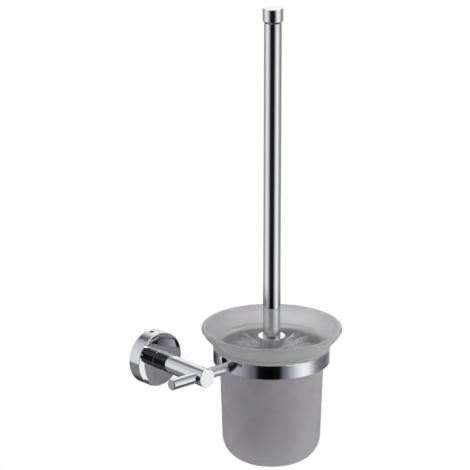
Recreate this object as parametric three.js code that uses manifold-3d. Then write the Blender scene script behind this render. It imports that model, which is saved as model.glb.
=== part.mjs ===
// Wall-mounted toilet brush holder: a chrome rosette carries a post, the post carries a cross rail,
// and the rail carries a ring in which a frosted glass cup hangs. The brush stands in the cup.
// Millimetres, +Z up. The wall is the plane y = 0 and the holder reaches out of it towards -Y.

import * as THREE from 'three';
import { mergeVertices } from 'three/addons/utils/BufferGeometryUtils.js';
import Module from 'manifold-3d';

const wasm = await Module();
wasm.setup();

// Rosette and the bracket hidden inside it. Depths are measured from the wall.
const FLANGE_RADIUS = 23.5;
const FLANGE_DEPTH = 13;
const FLANGE_BORE = 21;
const FLANGE_PLATE = 3;
const BRACKET_RADIUS = 19.5;
const BRACKET_DEPTH = 7;
const GROOVE_DEPTH = 4.5;
const GRUB_LEAN = THREE.MathUtils.degToRad(5);
const WALL_SCREW_SPACING = 23;
const WALL_SCREW_TIP = 12;

// Post and cross rail.
const POST_RADIUS = 8;
const POST_END = 74;
const RAIL_RADIUS = 4.75;
const RAIL_DEPTH = 66;
const RAIL_FREE_END = -33;

// Ring, liner and cup share one upright axis.
const CUP_X = 80;
const RING_OUTER = 50;
const RING_INNER = 47.2;
const RING_BOTTOM = -5;
const RING_TOP = 7.5;
const LINER_INNER = 45.3;
const RIM_RADIUS = 60;
const RIM_TOP = 24.6;
const BODY_TOP_RADIUS = 44.9;
const BODY_FOOT_RADIUS = 42.2;
const CUP_BOTTOM = -94;
const CUP_CORNER = 22;
const CUP_WALL = 3.4;
const CUP_FLOOR = 5;

// Brush.
const HANDLE_RADIUS = 7.5;
const HANDLE_BORE = 6.7;
const HANDLE_FOOT = 13.4;
const CAP_RADIUS = 8.75;
const CAP_FOOT = 290.8;
const CAP_TOP = 303.3;
const COLLAR_RADIUS = 11.7;
const COLLAR_FOOT = 9;
const COLLAR_TOP = 17;
const CORE_RADIUS = 9;
const CORE_TOP = 8.7;
const CORE_FOOT = -62;
const BRISTLE_TOP = 3.5;
const BRISTLE_FOOT = -88.7;
const BRISTLE_RADIUS = 38;

const M4_RADIUS = 1.85;
const M4_HOLE = 2;
const M5_RADIUS = 2.4;
const M5_HOLE = 2.6;
const M6_RADIUS = 2.85;
const M6_HOLE = 3.1;

const chrome = { color: 0xdfe1e4, roughness: 0.06, metalness: 1 };
const zincSteel = { color: 0x9fa3a6, roughness: 0.45, metalness: 1 };
const darkSteel = { color: 0x55585c, roughness: 0.4, metalness: 1 };
const frostedGlass = { color: 0xa9a7a8, roughness: 0.6, metalness: 0 };
const clearPlastic = { color: 0xe4e4e2, roughness: 0.5, metalness: 0 };
const whitePlastic = { color: 0xf1f1ef, roughness: 0.35, metalness: 0 };

// A solid of revolution about +Y. The profile holds [radius, height] pairs and runs up the outside.
function turned(profile, segments = 32) {
  const points = profile.map(([radius, height]) => new THREE.Vector2(radius, height));
  return new THREE.LatheGeometry(points, segments);
}

// Turns that lay the +Y axis of a turned piece along +Z, along +X, or out of the wall.
function upright(geometry) {
  return geometry.rotateX(Math.PI / 2);
}

function sideways(geometry) {
  return geometry.rotateZ(-Math.PI / 2);
}

function outward(geometry) {
  return geometry.rotateX(Math.PI);
}

// A plain pin of the given radius between two heights.
function pin(radius, from, to, segments = 32) {
  return turned([[0, from], [radius, from], [radius, to], [0, to]], segments);
}

// A ring loop that starts and ends at its lower outer corner.
function sleeve(outer, inner, from, to, segments = 32) {
  return turned([[outer, from], [outer, to], [inner, to], [inner, from], [outer, from]], segments);
}

function toManifold(geometry) {
  const bare = geometry.clone();
  bare.deleteAttribute('normal');
  bare.deleteAttribute('uv');
  const merged = mergeVertices(bare, 1e-4);
  const index = merged.index.array;
  const triangles = [];
  for (let i = 0; i < index.length; i += 3) {
    const [a, b, c] = [index[i], index[i + 1], index[i + 2]];
    if (a !== b && b !== c && c !== a) {
      triangles.push(a, b, c);
    }
  }
  return new wasm.Manifold(new wasm.Mesh({
    numProp: 3,
    vertProperties: Float32Array.from(merged.attributes.position.array),
    triVerts: Uint32Array.from(triangles),
  }));
}

function fromManifold(manifold) {
  const mesh = manifold.getMesh();
  const geometry = new THREE.BufferGeometry();
  geometry.setAttribute('position', new THREE.BufferAttribute(mesh.vertProperties, 3));
  geometry.setIndex(new THREE.BufferAttribute(mesh.triVerts, 1));
  geometry.computeVertexNormals();
  return geometry;
}

function cut(body, ...tools) {
  const remaining = tools.reduce((rest, tool) => rest.subtract(toManifold(tool)), toManifold(body));
  return fromManifold(remaining);
}

// A six-sided key socket that opens at the given height and runs down from it.
function keySocket(acrossFlats, mouth, depth) {
  const radius = acrossFlats / Math.sqrt(3);
  return pin(radius, mouth - depth, mouth + 1, 6);
}

function mesh(name, geometry, look) {
  const part = new THREE.Mesh(geometry, new THREE.MeshStandardMaterial(look));
  part.name = name;
  return part;
}

// Wall bracket: a turned zinc disc with a grub-screw groove round its edge, two countersunk screw
// holes and a pocket for the head of the post screw.
function bracketGeometry() {
  const disc = turned([
    [0, 0],
    [BRACKET_RADIUS, 0],
    [BRACKET_RADIUS, GROOVE_DEPTH - 2.3],
    [BRACKET_RADIUS - 1.5, GROOVE_DEPTH - 1],
    [BRACKET_RADIUS - 1.5, GROOVE_DEPTH + 1],
    [BRACKET_RADIUS - 0.2, BRACKET_DEPTH],
    [0, BRACKET_DEPTH],
  ], 32);
  const headPocket = pin(6, 3.2, BRACKET_DEPTH + 1, 24);
  const holes = [-1, 1].map((side) => {
    const hole = turned([[0, -1], [2.4, -1], [2.4, 4.8], [4.4, 6.8], [4.4, 8], [0, 8]], 20);
    return hole.translate(0, 0, side * WALL_SCREW_SPACING / 2);
  });
  return outward(cut(disc, headPocket, ...holes));
}

// Countersunk wood screw with a crossed drive slot, run into the wall.
function wallScrewGeometry() {
  const shank = turned([
    [0, -WALL_SCREW_TIP],
    [0.5, 1 - WALL_SCREW_TIP],
    [1.9, 5 - WALL_SCREW_TIP],
    [1.9, 4.7],
    [3.9, 6.6],
    [3.7, 6.9],
    [0, 6.9],
  ], 20);
  const slots = [[4, 0.9], [0.9, 4]].map(([width, depth]) => {
    return new THREE.BoxGeometry(width, 3.2, depth).translate(0, 6.9, 0);
  });
  return outward(cut(shank, ...slots));
}

// Rosette: a deep-drawn chrome cover, open at the back, with a tapped hole in its rim.
function flangeGeometry() {
  const inside = FLANGE_DEPTH - FLANGE_PLATE;
  const shell = turned([
    [FLANGE_RADIUS, 0],
    [FLANGE_RADIUS, FLANGE_DEPTH - 0.8],
    [FLANGE_RADIUS - 0.25, FLANGE_DEPTH - 0.25],
    [FLANGE_RADIUS - 0.8, FLANGE_DEPTH],
    [M6_HOLE + 0.2, FLANGE_DEPTH],
    [M6_HOLE + 0.2, inside],
    [FLANGE_BORE - 1.5, inside],
    [FLANGE_BORE, inside - 1.5],
    [FLANGE_BORE, 0],
    [FLANGE_RADIUS, 0],
  ], 48);
  const tapping = upright(pin(M4_HOLE, -FLANGE_RADIUS - 2, -FLANGE_BORE + 2, 16));
  tapping.translate(0, GROOVE_DEPTH, 0);
  tapping.rotateY(GRUB_LEAN);
  return outward(cut(shell, tapping));
}

// Grub screw along +Y: a headless screw with a key socket at the top and a blunt cone point.
function grubScrewGeometry(length, socketDepth, cone) {
  const blank = turned([
    [0, 0],
    [M4_RADIUS - cone, 0],
    [M4_RADIUS, cone],
    [M4_RADIUS, length - 0.3],
    [M4_RADIUS - 0.3, length],
    [0, length],
  ], 16);
  return cut(blank, keySocket(2, length, socketDepth));
}

// Post: a solid round bar, tapped at the back and cross-drilled near its flat front end.
function postGeometry() {
  const bar = turned([
    [0, FLANGE_DEPTH],
    [POST_RADIUS, FLANGE_DEPTH],
    [POST_RADIUS, POST_END - 0.4],
    [POST_RADIUS - 0.4, POST_END],
    [0, POST_END],
  ], 40);
  const tapping = pin(M6_HOLE, FLANGE_DEPTH - 1, 28, 24);
  const crossHole = sideways(pin(RAIL_RADIUS + 0.15, -12, 12, 32)).translate(0, RAIL_DEPTH, 0);
  const grubHole = upright(pin(M4_HOLE, 0, 12, 16)).translate(0, RAIL_DEPTH, 0);
  return outward(cut(bar, tapping, crossHole, grubHole));
}

// Post screw: a low socket-head screw that pulls the post against the rosette from behind.
function postScrewGeometry() {
  const blank = turned([
    [0, 4.8],
    [4.4, 4.8],
    [5, 5.4],
    [5, 8.3],
    [M6_RADIUS, 8.3],
    [M6_RADIUS, 25],
    [M6_RADIUS - 0.8, 26],
    [0, 26],
  ], 24);
  return outward(cut(blank, pin(2.3, 3, 6.8, 6)));
}

// Spring lock washer: a ring split by one slanting cut.
function lockWasherGeometry() {
  const gap = new THREE.BoxGeometry(0.9, 4, 6).rotateZ(0.5).translate(0, 9.15, 4.5);
  return outward(cut(sleeve(5.2, 3.2, 8.4, 9.9, 24), gap));
}

// Cross rail: a thin round bar through the post, chamfered at its free end and tapped at the ring.
function railGeometry() {
  const ringEnd = CUP_X - RING_OUTER - 0.1;
  const bar = turned([
    [0, RAIL_FREE_END],
    [RAIL_RADIUS - 0.5, RAIL_FREE_END],
    [RAIL_RADIUS, RAIL_FREE_END + 0.5],
    [RAIL_RADIUS, ringEnd],
    [0, ringEnd],
  ], 32);
  return sideways(cut(bar, pin(M5_HOLE, 16, ringEnd + 1, 20)));
}

// Ring: a rolled chrome band with one countersunk hole for the screw that joins it to the rail.
function ringGeometry() {
  const band = upright(turned([
    [RING_OUTER - 0.3, RING_BOTTOM],
    [RING_OUTER, RING_BOTTOM + 0.3],
    [RING_OUTER, RING_TOP - 0.3],
    [RING_OUTER - 0.3, RING_TOP],
    [RING_INNER, RING_TOP],
    [RING_INNER, RING_BOTTOM],
    [RING_OUTER - 0.3, RING_BOTTOM],
  ], 48));
  const hole = sideways(turned([
    [0, -RING_OUTER - 1],
    [M5_HOLE, -RING_OUTER - 1],
    [M5_HOLE, -RING_INNER - 2.2],
    [4.9, -RING_INNER + 0.1],
    [4.9, -RING_INNER + 2],
    [0, -RING_INNER + 2],
  ], 20));
  return cut(band, hole);
}

// Ring screw: a countersunk socket screw whose head lies flush inside the ring.
function ringScrewGeometry() {
  const face = CUP_X - RING_INNER - 0.1;
  const blank = turned([
    [0, 19],
    [M5_RADIUS - 0.6, 19],
    [M5_RADIUS, 19.6],
    [M5_RADIUS, face - 2],
    [4.3, face],
    [0, face],
  ], 20);
  return sideways(cut(blank, keySocket(3, face, 1.6)));
}

// Liner: a soft plastic hoop with a thin lip, so that the glass never rests on the metal.
function linerGeometry() {
  return upright(turned([
    [RING_INNER - 0.3, RING_BOTTOM + 0.5],
    [RING_INNER - 0.3, RING_TOP + 0.1],
    [RING_OUTER - 0.8, RING_TOP + 0.1],
    [RING_OUTER - 0.8, RING_TOP + 0.7],
    [LINER_INNER, RING_TOP + 0.7],
    [LINER_INNER, RING_BOTTOM + 0.5],
    [RING_INNER - 0.3, RING_BOTTOM + 0.5],
  ], 48));
}

// Points of a rounded inner or outer bottom corner, from the floor up to the side wall.
function cupCorner(wallRadius, floor, corner, steps) {
  return Array.from({ length: steps + 1 }, (_, i) => {
    const turn = (i / steps) * Math.PI / 2;
    return [wallRadius - corner + corner * Math.sin(turn), floor + corner - corner * Math.cos(turn)];
  });
}

// Frosted glass cup: a tapered beaker with a round bottom corner, a ledge that sits on the ring and
// a dished rim that flares out above it.
function cupGeometry() {
  const ledge = RING_TOP + 0.9;
  const inside = cupCorner(
    BODY_FOOT_RADIUS - CUP_WALL, CUP_BOTTOM + CUP_FLOOR, CUP_CORNER - CUP_WALL, 4,
  );
  return upright(turned([
    [0, CUP_BOTTOM],
    ...cupCorner(BODY_FOOT_RADIUS, CUP_BOTTOM, CUP_CORNER, 5),
    [BODY_TOP_RADIUS, ledge],
    [RING_OUTER + 0.1, ledge],
    [RING_OUTER + 0.9, ledge + 0.6],
    [RING_OUTER + 1.7, 10.8],
    [53.5, 12.5],
    [56.1, 15.5],
    [58.6, 18.5],
    [RIM_RADIUS - 0.2, 21],
    [RIM_RADIUS, 22.8],
    [RIM_RADIUS - 0.4, 24],
    [RIM_RADIUS - 1.4, RIM_TOP],
    [RIM_RADIUS - 2.3, RIM_TOP - 0.2],
    [RIM_RADIUS - 3.1, RIM_TOP - 1.2],
    [55.3, 20.4],
    [52.5, 16.6],
    [48.6, 12.6],
    [44.9, 9],
    [42.8, 6],
    [BODY_TOP_RADIUS - CUP_WALL, 2],
    ...inside.reverse(),
    [0, CUP_BOTTOM + CUP_FLOOR],
  ], 48));
}

// Handle: a long chrome tube, open at both ends.
function handleGeometry() {
  return upright(sleeve(HANDLE_RADIUS, HANDLE_BORE, HANDLE_FOOT, CAP_FOOT - 0.2, 36));
}

// Cap: a turned knob wider than the handle, with a spigot that presses into the tube.
function capGeometry() {
  return upright(turned([
    [0, CAP_FOOT - 9],
    [HANDLE_BORE - 0.8, CAP_FOOT - 9],
    [HANDLE_BORE - 0.3, CAP_FOOT - 8.5],
    [HANDLE_BORE - 0.3, CAP_FOOT],
    [CAP_RADIUS - 1.1, CAP_FOOT],
    [CAP_RADIUS, CAP_FOOT + 1.6],
    [CAP_RADIUS, CAP_TOP - 0.5],
    [CAP_RADIUS - 0.5, CAP_TOP],
    [0, CAP_TOP],
  ], 32));
}

// Insert: a tapped plug pressed into the foot of the handle.
function insertGeometry() {
  return upright(sleeve(HANDLE_BORE - 0.3, M6_HOLE, HANDLE_FOOT + 0.2, 32, 24));
}

// Collar: a chrome disc counterbored for the handle, with a rounded lower corner.
function collarGeometry() {
  return upright(turned([
    [COLLAR_RADIUS - 1.6, COLLAR_FOOT],
    [COLLAR_RADIUS - 0.5, COLLAR_FOOT + 0.5],
    [COLLAR_RADIUS, COLLAR_FOOT + 1.6],
    [COLLAR_RADIUS, COLLAR_TOP - 0.4],
    [COLLAR_RADIUS - 0.4, COLLAR_TOP],
    [HANDLE_RADIUS + 0.25, COLLAR_TOP],
    [HANDLE_RADIUS + 0.25, HANDLE_FOOT - 0.2],
    [M6_HOLE + 0.2, HANDLE_FOOT - 0.2],
    [M6_HOLE + 0.2, COLLAR_FOOT],
    [COLLAR_RADIUS - 1.6, COLLAR_FOOT],
  ], 32));
}

// Stud: a threaded rod that ties the handle insert, the collar and the brush core together.
function studGeometry() {
  return upright(pin(M6_RADIUS, -14, 30, 20));
}

// Core: the white plastic stick that holds the bristles, flanged at the top and rounded below.
function coreGeometry() {
  return upright(turned([
    [0, CORE_FOOT],
    [CORE_RADIUS - 4, CORE_FOOT],
    [CORE_RADIUS - 1.2, CORE_FOOT + 1.2],
    [CORE_RADIUS, CORE_FOOT + 4],
    [CORE_RADIUS, CORE_TOP - 4],
    [CORE_RADIUS + 1.2, CORE_TOP - 3],
    [CORE_RADIUS + 1.2, CORE_TOP - 0.4],
    [CORE_RADIUS + 0.8, CORE_TOP],
    [M6_HOLE, CORE_TOP],
    [M6_HOLE, -16],
    [0, -16],
  ], 24));
}

// Bristles: the soft round bush that the tufts fill, closed below the core.
function bristleGeometry() {
  return upright(turned([
    [0, BRISTLE_FOOT],
    [18, BRISTLE_FOOT],
    [27, BRISTLE_FOOT + 3.7],
    [33, BRISTLE_FOOT + 10],
    [BRISTLE_RADIUS - 2, BRISTLE_FOOT + 20],
    [BRISTLE_RADIUS, -12],
    [BRISTLE_RADIUS - 2, -3],
    [BRISTLE_RADIUS - 6, BRISTLE_TOP - 1],
    [BRISTLE_RADIUS - 12, BRISTLE_TOP],
    [CORE_RADIUS + 0.4, BRISTLE_TOP],
    [CORE_RADIUS + 0.4, CORE_FOOT - 0.4],
    [0, CORE_FOOT - 0.4],
  ], 28));
}

function wallMount() {
  const group = new THREE.Group();
  group.name = 'wall_mount';
  group.add(mesh('wall_bracket', bracketGeometry(), zincSteel));
  for (const [name, side] of [['wall_screw_upper', 1], ['wall_screw_lower', -1]]) {
    const screw = mesh(name, wallScrewGeometry(), zincSteel);
    screw.position.z = side * WALL_SCREW_SPACING / 2;
    group.add(screw);
  }
  group.add(mesh('wall_flange', flangeGeometry(), chrome));

  const pointRadius = BRACKET_RADIUS - 1.2;
  const grub = mesh('flange_grub_screw', grubScrewGeometry(4.7, 2.2, 1.1), darkSteel);
  grub.rotation.x = Math.PI / 2;
  grub.position.set(0, -GROOVE_DEPTH, pointRadius);
  const leaning = new THREE.Group();
  leaning.rotation.y = -GRUB_LEAN;
  leaning.add(grub);
  group.add(leaning);
  return group;
}

function arm() {
  const group = new THREE.Group();
  group.name = 'arm';
  group.add(mesh('post', postGeometry(), chrome));
  group.add(mesh('post_screw', postScrewGeometry(), zincSteel));
  group.add(mesh('post_lock_washer', lockWasherGeometry(), zincSteel));

  const rail = mesh('cross_rail', railGeometry(), chrome);
  rail.position.y = -RAIL_DEPTH;
  group.add(rail);

  const grub = mesh('rail_grub_screw', grubScrewGeometry(2.7, 1.4, 0.3), darkSteel);
  grub.rotation.x = -Math.PI / 2;
  grub.position.set(0, -RAIL_DEPTH, -RAIL_RADIUS - 0.2);
  group.add(grub);
  return group;
}

function holder() {
  const group = new THREE.Group();
  group.name = 'holder';
  group.position.set(CUP_X, -RAIL_DEPTH, 0);
  group.add(mesh('ring', ringGeometry(), chrome));
  group.add(mesh('ring_liner', linerGeometry(), clearPlastic));
  group.add(mesh('glass_cup', cupGeometry(), frostedGlass));

  const screw = mesh('ring_screw', ringScrewGeometry(), darkSteel);
  screw.position.x = -CUP_X;
  group.add(screw);
  return group;
}

function brush() {
  const group = new THREE.Group();
  group.name = 'brush';
  group.position.set(CUP_X, -RAIL_DEPTH, 0);
  group.add(mesh('handle_tube', handleGeometry(), chrome));
  group.add(mesh('handle_cap', capGeometry(), chrome));
  group.add(mesh('handle_insert', insertGeometry(), zincSteel));
  group.add(mesh('handle_collar', collarGeometry(), chrome));
  group.add(mesh('brush_stud', studGeometry(), zincSteel));
  group.add(mesh('brush_core', coreGeometry(), whitePlastic));
  group.add(mesh('bristles', bristleGeometry(), whitePlastic));
  return group;
}

const brushHolder = new THREE.Group();
brushHolder.name = 'toilet_brush_holder';
brushHolder.add(wallMount(), arm(), holder(), brush());

export default brushHolder;
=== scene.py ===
import math
import random

import bmesh
import bpy
from mathutils import Matrix, Vector


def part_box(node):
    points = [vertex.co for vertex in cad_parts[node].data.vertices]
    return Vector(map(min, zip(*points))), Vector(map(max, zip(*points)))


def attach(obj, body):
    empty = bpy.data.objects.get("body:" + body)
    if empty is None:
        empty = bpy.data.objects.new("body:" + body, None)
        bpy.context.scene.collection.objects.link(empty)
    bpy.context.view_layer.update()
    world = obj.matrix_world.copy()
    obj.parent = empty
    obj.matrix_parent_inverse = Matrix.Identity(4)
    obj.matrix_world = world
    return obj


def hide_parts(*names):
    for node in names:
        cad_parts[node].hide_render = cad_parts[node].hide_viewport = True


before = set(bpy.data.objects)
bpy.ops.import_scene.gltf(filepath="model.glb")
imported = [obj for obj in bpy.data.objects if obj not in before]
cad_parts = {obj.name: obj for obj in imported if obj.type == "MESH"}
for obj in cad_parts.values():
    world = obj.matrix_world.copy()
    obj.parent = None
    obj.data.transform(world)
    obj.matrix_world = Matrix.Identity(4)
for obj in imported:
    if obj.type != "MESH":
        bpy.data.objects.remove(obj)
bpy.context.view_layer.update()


# Camera. A long lens well away from the wall, to the left of the holder and a little above it, so
# that the upright handle hardly tapers.
MM = 0.001
CAMERA_AT = (-1438.6, -1727.4, 823.5)
CAMERA_AZIMUTH = -41.63
CAMERA_ELEVATION = 17.66
CAMERA_LENS = 214.2

azimuth = math.radians(CAMERA_AZIMUTH)
elevation = math.radians(CAMERA_ELEVATION)
towards_lens = Vector((
    math.sin(azimuth) * math.cos(elevation),
    -math.cos(azimuth) * math.cos(elevation),
    math.sin(elevation),
))
lens = bpy.data.cameras.new("camera")
lens.lens = CAMERA_LENS
lens.clip_end = 60
camera = bpy.data.objects.new("camera", lens)
camera.location = Vector(CAMERA_AT) * MM
camera.rotation_mode = "QUATERNION"
camera.rotation_quaternion = (-towards_lens).to_track_quat("-Z", "Y")
bpy.context.collection.objects.link(camera)
bpy.context.scene.camera = camera


# Studio. A white paper floor far below, and round the holder a small cloth tent: a dark slot for
# the lens, a shaded roof with a skylight, a window high on the right, and on the grey base a white
# card and a white hem. It only shows mirrored in the metal and through the glass.
FLOOR_LEVEL = -1600
FLOOR_REACH = 14000
TENT_RADIUS = 560
TENT_FOOT = -235
TENT_SHOULDER = 190
EAVES_RADIUS = 448
EAVES_LEVEL = 560
TENT_ROOF = 620
TENT_PANELS = 96
WALL_CHILL = 0.06
SKIRT_CHILL = 0.12
SKIRT_TOP = -118
SKIRT_FADE = 34
WALL_FOLDS = [
    (-180, 0.95), (-160, 0.55), (-143, 0.32), (-115, 0.4), (-95, 0.7), (-78, 0.86), (-63, 0.74),
    (-49, 0.48), (-36, 0.18), (-27, 0.03), (-17, 0.012), (6, 0.012), (16, 0.03), (25, 0.25),
    (36, 0.54), (49, 0.84), (62, 0.97), (76, 0.76), (95, 0.38), (110, 0.27), (130, 0.34),
    (143, 0.6), (160, 0.85),
]
SKIRT_FOLDS = [
    (-180, 0.6), (-168, 0.25), (-158, 0.08), (-141, 0.07), (-130, 0.18), (-119, 0.28), (-100, 0.18),
    (-84, 0.42), (-70, 0.42), (-56, 0.31), (-43, 0.18), (-32, 0.1), (-26, 0.02), (-17, 0.004),
    (6, 0.004), (15, 0.02), (20, 0.12), (31, 0.3), (44, 0.6), (60, 0.92), (75, 0.82), (91, 0.35),
    (112, 0.17), (134, 0.2), (150, 0.4), (164, 0.8),
]
ROOF_FOLDS = [
    (-180, 1.02), (-158, 0.85), (-145, 0.5), (-127, 0.13), (-114, 0.45), (-95, 0.62), (-70, 0.2),
    (-30, 0.08), (50, 0.1), (78, 0.6), (92, 0.32), (130, 0.28), (146, 0.55), (162, 0.78),
    (180, 1.02),
]
BASE_FOLDS = [
    (-180, 0.16), (-150, 0.1), (-136, 0.02), (-121, 0.12), (-104, 0.24), (-80, 0.14), (-40, 0.12),
    (-12, 0.05), (60, 0.05), (95, 0.13), (110, 0.16), (126, 0.22), (150, 0.36), (165, 0.5),
]
WINDOW_LIGHT = 3.8
WINDOW_FROM = 24
WINDOW_TO = 64
WINDOW_OUTLINE = [(532, 230), (492.8, 340)]
SKYLIGHT_LIGHT = 3.3
SKYLIGHT_OUTLINE = [(170, 575), (235, 560)]
REFLECTOR_LIGHT = 0.94
REFLECTOR_LEVEL = TENT_FOOT + 5
REFLECTOR_FROM = 14
REFLECTOR_TO = 68
REFLECTOR_NEAR = 290
REFLECTOR_FAR = 545
HEM_FROM = 68
HEM_TO = 94
HEM_NEAR = 380
HEM_FAR = TENT_RADIUS - 5
HEM_LEVEL = TENT_FOOT + 4
HEM_TOP = -206

cup_low, cup_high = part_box("glass_cup")
cup_x = (cup_low.x + cup_high.x) / 2
cup_y = (cup_low.y + cup_high.y) / 2


def placed(name, mesh):
    """A new object that stands in the scene with the given mesh."""
    thing = bpy.data.objects.new(name, mesh)
    bpy.context.collection.objects.link(thing)
    return thing


def lit_cloth(name, light=1):
    """A material that only glows: studio cloth and paper, lit from behind."""
    material = bpy.data.materials.new(name)
    material.use_nodes = True
    tree = material.node_tree
    tree.nodes.remove(tree.nodes["Principled BSDF"])
    glow = tree.nodes.new("ShaderNodeEmission")
    glow.inputs["Strength"].default_value = light
    tree.links.new(glow.outputs["Emission"], tree.nodes["Material Output"].inputs["Surface"])
    return material, glow


def folds_round(tree, turn, folds, chill):
    """The brightness of the cloth by the direction round the tent, in degrees from the lens. The
    shaded folds are a little blue, by the chill."""
    ramp = tree.nodes.new("ShaderNodeValToRGB")
    ramp.color_ramp.interpolation = "CARDINAL"
    stops = ramp.color_ramp.elements
    while len(stops) < len(folds):
        stops.new(0.5)
    for stop, (angle, light) in zip(stops, folds):
        stop.position = angle / 360 + 0.5
        blue = chill * (1.15 - light)
        stop.color = (light * (1 - blue / 2), light * (1 - blue / 3), light * (1 + blue), 1)
    tree.links.new(turn, ramp.inputs["Fac"])
    return ramp.outputs["Color"]


def folded_cloth(name, upper, lower):
    """Tent cloth: one row of folds above, another below, melting into each other."""
    material, glow = lit_cloth(name)
    tree = material.node_tree
    place = tree.nodes.new("ShaderNodeTexCoord")
    parts = tree.nodes.new("ShaderNodeSeparateXYZ")
    tree.links.new(place.outputs["Object"], parts.inputs["Vector"])
    forward = tree.nodes.new("ShaderNodeMath")
    forward.operation = "MULTIPLY"
    forward.inputs[1].default_value = -1
    tree.links.new(parts.outputs["Y"], forward.inputs[0])
    turn = tree.nodes.new("ShaderNodeMath")
    turn.operation = "ARCTAN2"
    tree.links.new(parts.outputs["X"], turn.inputs[0])
    tree.links.new(forward.outputs["Value"], turn.inputs[1])
    share = tree.nodes.new("ShaderNodeMath")
    share.operation = "MULTIPLY_ADD"
    share.inputs[1].default_value = 1 / math.tau
    share.inputs[2].default_value = 0.5
    tree.links.new(turn.outputs["Value"], share.inputs[0])
    rise = tree.nodes.new("ShaderNodeMapRange")
    rise.interpolation_type = "SMOOTHSTEP"
    rise.inputs["From Min"].default_value = (SKIRT_TOP - SKIRT_FADE) * MM
    rise.inputs["From Max"].default_value = SKIRT_TOP * MM
    tree.links.new(parts.outputs["Z"], rise.inputs["Value"])
    blend = tree.nodes.new("ShaderNodeMix")
    blend.data_type = "RGBA"
    tree.links.new(rise.outputs["Result"], blend.inputs["Factor"])
    low_folds = folds_round(tree, share.outputs["Value"], lower, SKIRT_CHILL)
    high_folds = folds_round(tree, share.outputs["Value"], upper, WALL_CHILL)
    tree.links.new(low_folds, blend.inputs["A"])
    tree.links.new(high_folds, blend.inputs["B"])
    tree.links.new(blend.outputs["Result"], glow.inputs["Color"])
    return material


def tent_part(name, outline, material, start=0, stop=360):
    """One band of the tent between the (radius, height) lines of its outline, from one direction
    to another, in degrees from the lens."""
    points = []
    for radius, height in outline:
        for panel in range(TENT_PANELS + 1):
            angle = math.radians(start + (stop - start) * panel / TENT_PANELS - 90)
            points.append(Vector((radius * math.cos(angle), radius * math.sin(angle), height)) * MM)
    faces = []
    for row in range(len(outline) - 1):
        for panel in range(TENT_PANELS):
            lower = row * (TENT_PANELS + 1) + panel
            upper = lower + TENT_PANELS + 1
            faces.append((lower, lower + 1, upper + 1, upper))
    mesh = bpy.data.meshes.new(name)
    mesh.from_pydata(points, [], faces)
    mesh.materials.append(material)
    part = placed(name, mesh)
    part.location = (cup_x, cup_y, 0)
    part.rotation_euler = (0, 0, azimuth)
    part.visible_camera = False
    part.visible_shadow = False


wall_cloth = folded_cloth("wall_cloth", WALL_FOLDS, SKIRT_FOLDS)
roof_cloth = folded_cloth("roof_cloth", ROOF_FOLDS, ROOF_FOLDS)
base_board = folded_cloth("base_board", BASE_FOLDS, BASE_FOLDS)
tent_part("tent_wall", [(TENT_RADIUS, TENT_FOOT), (TENT_RADIUS, TENT_SHOULDER)], wall_cloth)
tent_part("tent_roof", [
    (TENT_RADIUS, TENT_SHOULDER), (EAVES_RADIUS, EAVES_LEVEL), (1, TENT_ROOF),
], roof_cloth)
tent_part("tent_base", [(1, TENT_FOOT), (TENT_RADIUS, TENT_FOOT)], base_board)

window_gauze, _ = lit_cloth("window_gauze", WINDOW_LIGHT)
tent_part("tent_window", WINDOW_OUTLINE, window_gauze, WINDOW_FROM, WINDOW_TO)
skylight_gauze, _ = lit_cloth("skylight_gauze", SKYLIGHT_LIGHT)
tent_part("tent_skylight", SKYLIGHT_OUTLINE, skylight_gauze)
reflector_card, _ = lit_cloth("reflector_card", REFLECTOR_LIGHT)
tent_part("tent_reflector", [
    (REFLECTOR_NEAR, REFLECTOR_LEVEL), (REFLECTOR_FAR, REFLECTOR_LEVEL),
], reflector_card, REFLECTOR_FROM, REFLECTOR_TO)
tent_part("tent_hem", [
    (HEM_NEAR, HEM_LEVEL), (HEM_FAR, HEM_LEVEL), (HEM_FAR, HEM_TOP),
], reflector_card, HEM_FROM, HEM_TO)

paper, paper_glow = lit_cloth("floor_paper")
paper_tree = paper.node_tree
mottle = paper_tree.nodes.new("ShaderNodeTexNoise")
mottle.inputs["Scale"].default_value = 3
shades = paper_tree.nodes.new("ShaderNodeValToRGB")
shades.color_ramp.elements[0].color = (0.99, 0.99, 0.99, 1)
shades.color_ramp.elements[1].color = (1.01, 1.01, 1.01, 1)
paper_tree.links.new(mottle.outputs["Fac"], shades.inputs["Fac"])
paper_tree.links.new(shades.outputs["Color"], paper_glow.inputs["Color"])
floor_mesh = bpy.data.meshes.new("floor")
floor_mesh.from_pydata([
    Vector((side * FLOOR_REACH, end * FLOOR_REACH, FLOOR_LEVEL)) * MM
    for side, end in ((-1, -1), (1, -1), (1, 1), (-1, 1))
], [], [(0, 1, 2, 3)])
floor_mesh.materials.append(paper)
placed("floor", floor_mesh)

sky = bpy.data.worlds.new("studio_air")
sky.use_nodes = True
sky.node_tree.nodes["Background"].inputs["Color"].default_value = (1, 1, 1, 1)
bpy.context.scene.world = sky
bpy.context.scene.view_settings.view_transform = "Standard"


# Wall bracket. A zinc-plated disc turned from bar, grooved round its edge for the rosette's grub
# screw, with two countersunk holes and a pocket that clears the head of the post screw.
BRACKET_RADIUS = 19.5
BRACKET_DEPTH = 7
GROOVE_RADIUS = 18
POCKET_RADIUS = 6
POCKET_FLOOR = 3.2
SCREW_SPACING = 23
SCREW_HOLE = 2.4
SCREW_SINK = 4.4
OUT_OF_WALL = Matrix.Rotation(math.radians(90), 4, "X")


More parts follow.
